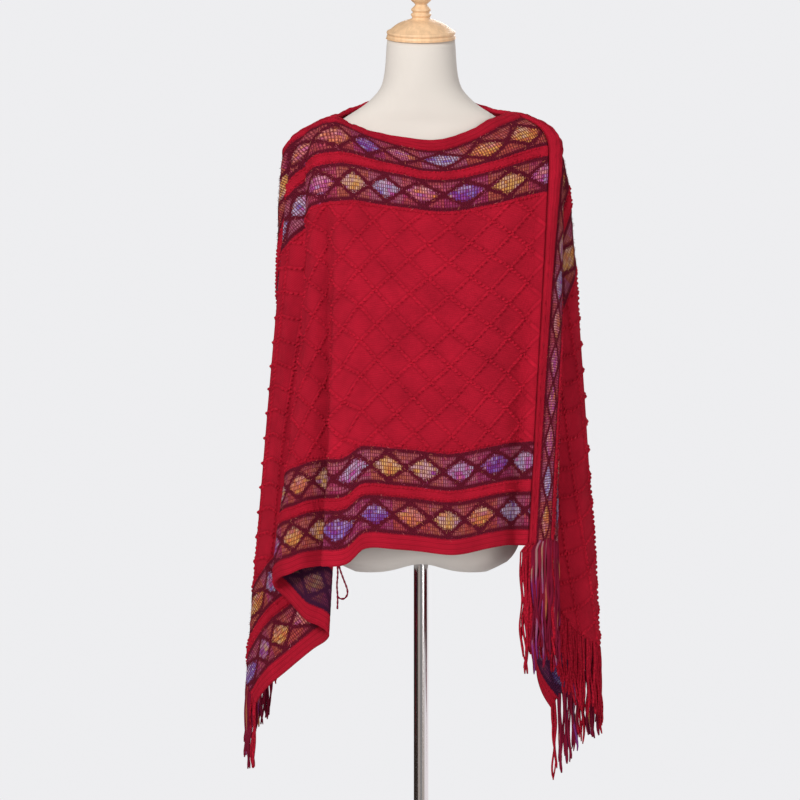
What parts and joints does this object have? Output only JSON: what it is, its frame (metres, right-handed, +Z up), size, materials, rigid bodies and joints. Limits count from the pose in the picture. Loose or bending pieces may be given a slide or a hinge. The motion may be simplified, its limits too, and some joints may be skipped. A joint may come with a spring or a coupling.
{
  "type": "fringed knitted poncho on a dress form",
  "caption": "Pullover poncho of two joined knitted panels with bands and fringed ends, worn by a limbless dress form on a round stand.",
  "frame": {"origin": "centre of the underside of the round base, on the surface that the stand rests on", "axes": "+Z up along the pole, -Y the front of the garment, +X to the viewer's right"},
  "size_m": [0.5272, 0.34, 1.6094],
  "materials": {
    "red_knit": "matt stocking-stitch wool blend with a raised lattice",
    "fringe_yarn": "matt twisted yarn",
    "linen": "cream linen, fine plain weave",
    "pale_wood": "turned, clear satin varnish",
    "chrome": "polished",
    "base_steel": "polished plate"
  },
  "bodies": {
    "root": {"front_panel": "red_knit", "back_panel": "red_knit", "front_fringe": "fringe_yarn", "back_fringe": "fringe_yarn", "dress_form": "linen", "neck_cap": "pale_wood", "pole": "chrome", "base": "base_steel"}
  },
  "joints": []
}
